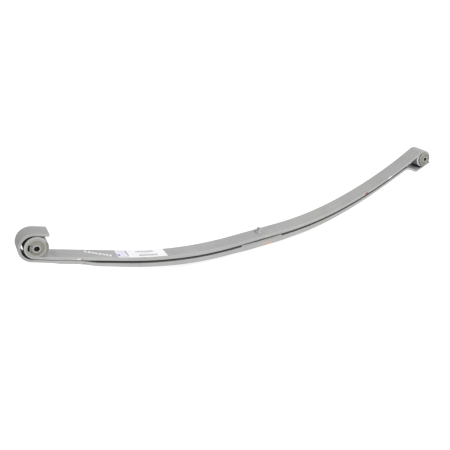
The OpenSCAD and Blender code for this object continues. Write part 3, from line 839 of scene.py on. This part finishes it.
def paper(name):
    """White paper with ruled fields, thumbed and a little cockled by the paint under it."""
    finish, tree, shader, place = new_finish(name, bent=True)
    axes = node(tree, "ShaderNodeSeparateXYZ", {0: place}).outputs
    thumbed = between(tree, grain(tree, place, 26.0, 4.0), 0.3, 0.7, 0.97, 1.03)
    colour = tone(tree, label_white, thumbed)
    violet = between(tree, axes["X"], -536.5 * mm, -538.5 * mm, 0.0, 0.30)
    colour = lay(tree, colour, field_violet, violet)

    def band(axis, centre, half):
        """One within half a width of a line across an axis, both in millimetres."""
        away = alone(tree, "ABSOLUTE", combine(tree, "SUBTRACT", axes[axis], centre * mm))
        return between(tree, away, (half + 0.2) * mm, (half - 0.2) * mm)

    boxes = alone(tree, "FRACT", combine(tree, "MULTIPLY", axes["X"], 1 / box_pitch))
    boxes = between(tree, boxes, 0.34, 0.40)
    # Each row of boxes: middle and half length along the leaf, the same across it, and strength
    fields = [(-468, 34, 20, 6.4, 0.9), (-464, 36, -12, 6.6, 0.9), (-470, 20, 5, 1.8, 0.6),
              (-556, 14, 22, 2.4, 0.6), (-552, 10, 6, 1.8, 0.5), (-553, 12, -20, 2.4, 0.55)]
    fade = between(tree, grain(tree, place, 190.0, 3.0), 0.36, 0.60, 0.55, 1.0)
    rule = combine(tree, "MULTIPLY", band("X", -537.6, 2.0), band("Y", 7.5, 24.5), fade)
    colour = lay(tree, colour, label_rule, rule)
    for along, half_length, across, half_height, strength in fields:
        row = combine(tree, "MULTIPLY", band("X", along, half_length),
                      band("Y", across, half_height), boxes, fade, strength)
        colour = lay(tree, colour, label_rule, row)
    smear = spot(tree, ragged(tree, place, 5 * mm), (-570 * mm, -9.5 * mm, 115 * mm),
                 (4 * mm, 8 * mm, 12 * mm))
    colour = lay(tree, colour, pencil_blue, combine(tree, "MULTIPLY", smear, 0.9))
    tree.links.new(colour, shader.inputs["Base Color"])
    shader.inputs["Roughness"].default_value = 0.62
    relief(tree, shader, (grain(tree, place, 20.0, 2.0), 0.5 * mm),
           (grain(tree, place, 800.0), 0.02 * mm))
    return finish


def at_corner(edge):
    """Whether an edge stands upright at a corner of the label."""
    across = abs(edge.verts[0].co.y - edge.verts[1].co.y)
    return edge.calc_length() < 0.6 * mm and across < 0.1 * mm


work = solid_of("label")
ease_edges(work, label_corner, segments=4, only=at_corner)
low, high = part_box("label")
for step in range(1, label_rungs):
    slice_at(work, low.x + (high.x - low.x) * step / label_rungs)
bend_with(piece_of(work, "paper_label", paper("label_film"), "label_film", "label"))


# ---- The studio ----------------------------------------------------------------------------------
# A wide pale floor under an even white sky, and one broad lamp from the near side. What the camera,
# gloss and glass see of the room is white, and the floor keeps a soft shadow.
sky_strength = 0.58
floor_grey = 0.5
seen_base, seen_glow = 0.4, 0.80
lamp_at, lamp_size, lamp_power = Vector((0.5, -6.3, 4.4)), 4.0, 445.0
floor_reach = 30.0
pure_white = (1.0, 1.0, 1.0, 1.0)


def room_ray(tree):
    """One for a ray that only looks at the room, and none for one that lights the spring."""
    path = node(tree, "ShaderNodeLightPath").outputs
    return combine(tree, "MAXIMUM", path["Is Camera Ray"], path["Is Glossy Ray"],
                   path["Is Transmission Ray"])


floor_mesh = bpy.data.meshes.new("floor")
work = bmesh.new()
bmesh.ops.create_grid(work, x_segments=1, y_segments=1, size=floor_reach,
                      matrix=Matrix.Translation((0.0, 0.0, cad_box[0].z)))
work.to_mesh(floor_mesh)
work.free()
floor = bpy.data.objects.new("floor", floor_mesh)
scene.collection.objects.link(floor)
floor_finish = bpy.data.materials.new("studio_floor")
floor_finish.use_nodes = True
tree = floor_finish.node_tree
tree.nodes.remove(tree.nodes["Principled BSDF"])
dull = node(tree, "ShaderNodeBsdfDiffuse", {"Color": (floor_grey, floor_grey, floor_grey, 1.0)})
lit = node(tree, "ShaderNodeBsdfDiffuse", {"Color": (seen_base, seen_base, seen_base, 1.0)})
glow = node(tree, "ShaderNodeEmission", {"Strength": seen_glow})
seen = node(tree, "ShaderNodeAddShader", {0: lit.outputs[0], 1: glow.outputs[0]})
either = node(tree, "ShaderNodeMixShader",
              {0: room_ray(tree), 1: dull.outputs[0], 2: seen.outputs[0]})
tree.links.new(either.outputs[0], tree.nodes["Material Output"].inputs["Surface"])
floor_mesh.materials.append(floor_finish)

world = bpy.data.worlds.new("studio")
world.use_nodes = True
scene.world = world
tree = world.node_tree
sky = tree.nodes["Background"]
sky.inputs["Color"].default_value = pure_white
sky.inputs["Strength"].default_value = sky_strength
white = node(tree, "ShaderNodeBackground", {"Strength": 1.0, "Color": pure_white})
either = node(tree, "ShaderNodeMixShader",
              {0: room_ray(tree), 1: sky.outputs[0], 2: white.outputs[0]})
tree.links.new(either.outputs[0], tree.nodes["World Output"].inputs["Surface"])

lamp = bpy.data.objects.new("lamp", bpy.data.lights.new("lamp", "AREA"))
lamp.data.size = lamp_size
lamp.data.energy = lamp_power
lamp.location = lamp_at
lamp.rotation_euler = (-lamp_at).to_track_quat("-Z", "Y").to_euler()
scene.collection.objects.link(lamp)

scene.view_settings.view_transform = "Standard"
